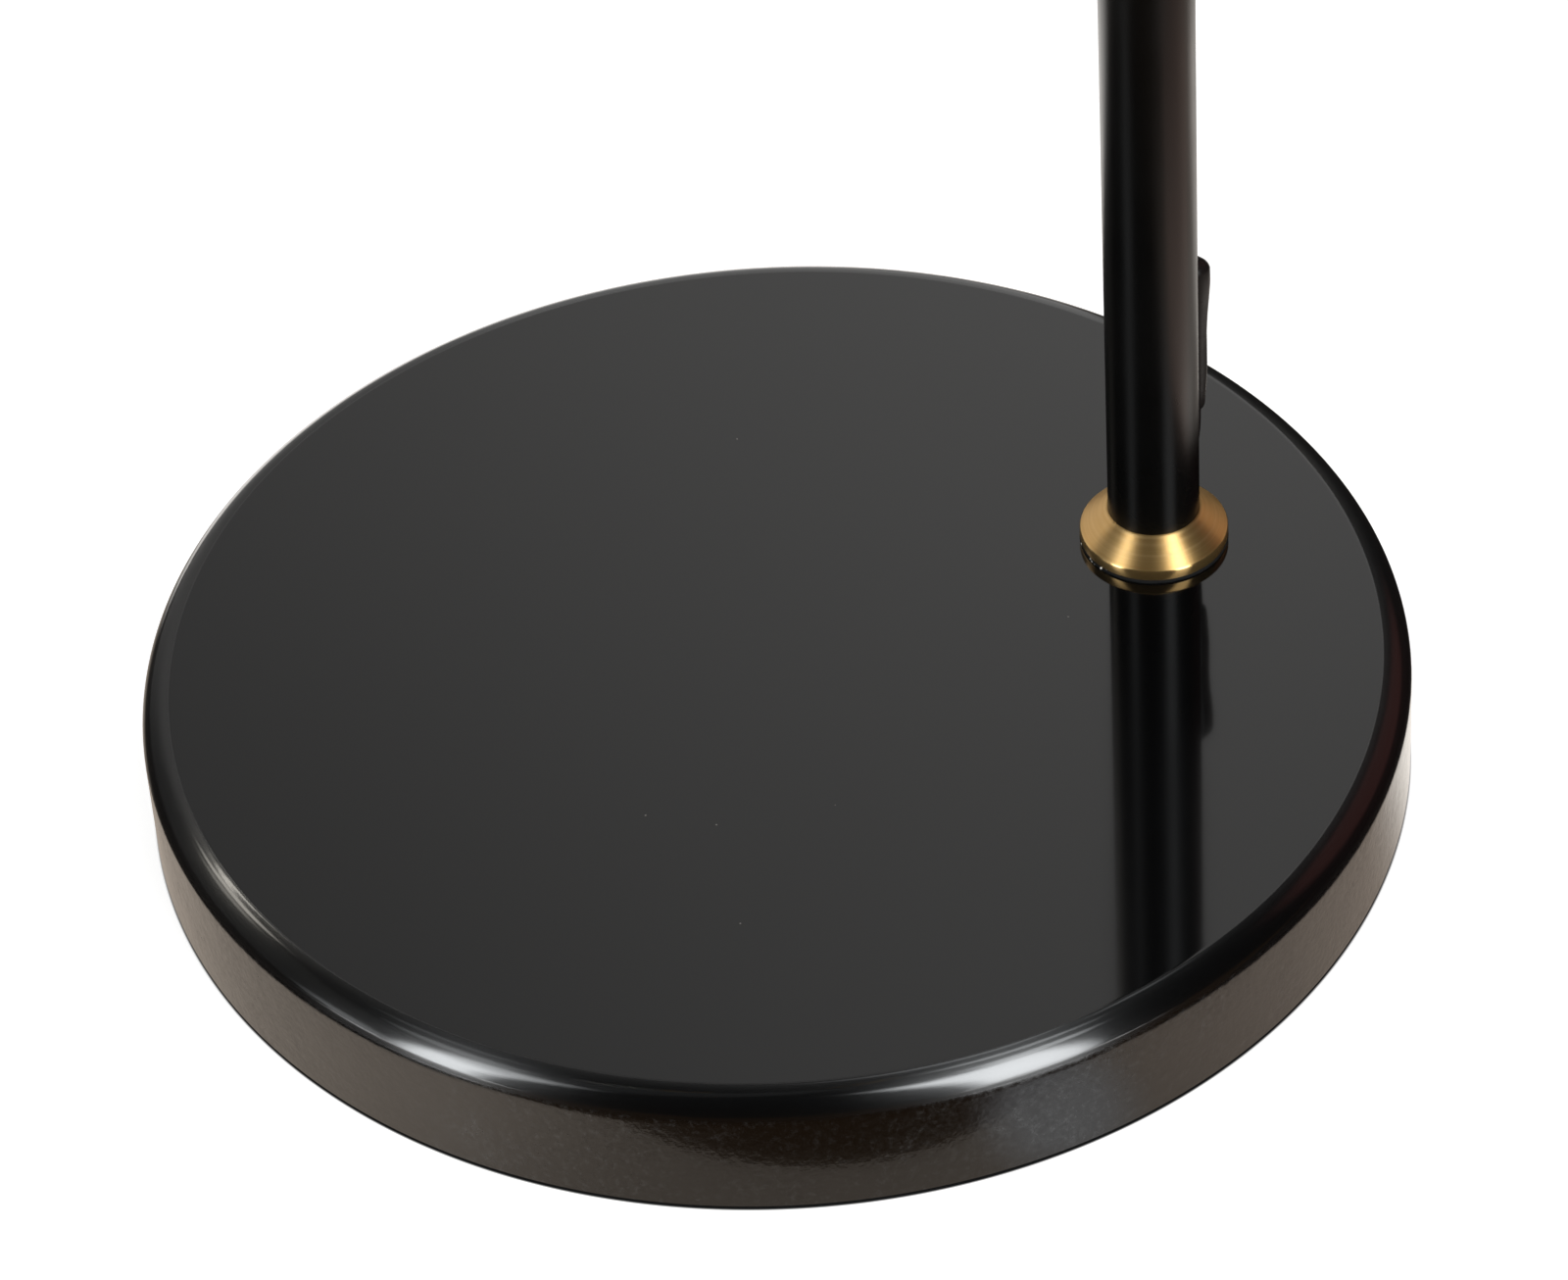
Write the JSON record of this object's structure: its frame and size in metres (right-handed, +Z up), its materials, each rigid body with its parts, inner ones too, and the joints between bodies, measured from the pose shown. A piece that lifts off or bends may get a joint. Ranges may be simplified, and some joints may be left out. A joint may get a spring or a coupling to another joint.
{
  "type": "pharmacy floor lamp",
  "caption": "Floor lamp with a round weighted foot, off-centre telescopic stem, tilting arm and half-round metal shade on a swivel.",
  "frame": {"origin": "centre of the foot's underside, on the floor", "axes": "+Z up along the stem; the stem stands on +X and the arm reaches back over the foot towards -X; +Y is the side of the clamp and tilt knobs"},
  "size_m": [0.6147, 0.4375, 1.1893],
  "materials": {
    "gloss_black": "gloss lacquer",
    "satin_black": "satin powder coat",
    "shade_black": "satin outside, white enamel inside",
    "brass": "turned and brushed",
    "blade_brass": "bright",
    "cast_iron": "as cast, painted",
    "steel": "zinc plated",
    "felt": "felt",
    "fibre": "pressed fibre",
    "flex_black": "satin vinyl",
    "nylon": "natural",
    "phenolic": "moulded",
    "bulb_cap_metal": "bright",
    "opal_glass": "opal"
  },
  "bodies": {
    "base": {"base_cover": "gloss_black", "base_weight": "cast_iron", "felt_pad": "felt", "flange_gasket": "fibre", "stem_flange": "brass", "foot_plug": "steel", "threaded_nipple": "steel", "clamp_washer": "steel", "lock_washer": "steel", "base_nut": "steel", "lower_stem": "satin_black", "strain_relief": "flex_black", "guide_bush": "nylon", "lock_collar": "brass", "power_cord": "flex_black", "cord_coil": "flex_black", "plug_housing": "flex_black", "plug_blades": "blade_brass"},
    "height_clamp": {"clamp_knob": "brass", "clamp_screw": "steel", "clamp_pad": "nylon"},
    "mast": {"mast_tube": "brass", "mast_slider": "nylon", "mast_ferrule": "brass"},
    "yoke": {"swivel_yoke": "brass", "yoke_clip": "steel", "elbow_bolt": "brass", "elbow_washers": "fibre"},
    "tilt_knob": {"elbow_knob": "brass"},
    "arm": {"arm_knuckle": "brass", "arm_tube": "satin_black", "arm_ferrule": "brass"},
    "fork": {"head_fork": "brass", "fork_clip": "steel", "head_screw": "brass", "head_cap_nut": "brass", "head_washers": "fibre"},
    "head": {"head_tongue": "brass", "socket_cap": "brass", "cap_nut": "steel", "socket_shell": "phenolic", "shade_ring": "phenolic", "shade": "shade_black", "bulb_cap": "bulb_cap_metal", "bulb_glass": "opal_glass", "switch_bush": "brass"},
    "switch": {"switch_shaft": "steel", "switch_knob": "brass"}
  },
  "joints": [
    {"name": "clamp_turn", "type": "hinge", "parent": "base", "child": "height_clamp", "pos_m": [0.085, 0.0125, 0.788], "axis": [0, 1, 0], "range_deg": [0, 360]},
    {"name": "mast_slide", "type": "slide", "parent": "base", "child": "mast", "axis": [0, 0, 1], "range_m": [-0.27, 0.17]},
    {"name": "mast_swivel", "type": "hinge", "parent": "mast", "child": "yoke", "pos_m": [0.085, 0, 1.111], "axis": [0, 0, 1], "range_deg": [-170, 170]},
    {"name": "knob_turn", "type": "hinge", "parent": "yoke", "child": "tilt_knob", "pos_m": [0.085, 0.016, 1.1413], "axis": [0, 1, 0], "range_deg": [0, 360]},
    {"name": "arm_tilt", "type": "hinge", "parent": "yoke", "child": "arm", "pos_m": [0.085, 0, 1.1413], "axis": [0, 1, 0], "range_deg": [-45, 60]},
    {"name": "shade_turn", "type": "hinge", "parent": "arm", "child": "fork", "pos_m": [-0.168, 0, 1.1413], "axis": [1, 0, 0], "range_deg": [-150, 150]},
    {"name": "shade_tilt", "type": "hinge", "parent": "fork", "child": "head", "pos_m": [-0.188, 0, 1.1413], "axis": [0, 1, 0], "range_deg": [-75, 75]},
    {"name": "switch_turn", "type": "hinge", "parent": "head", "child": "switch", "pos_m": [-0.213, 0, 1.1663], "axis": [0, 0, 1], "range_deg": [0, 270]}
  ]
}
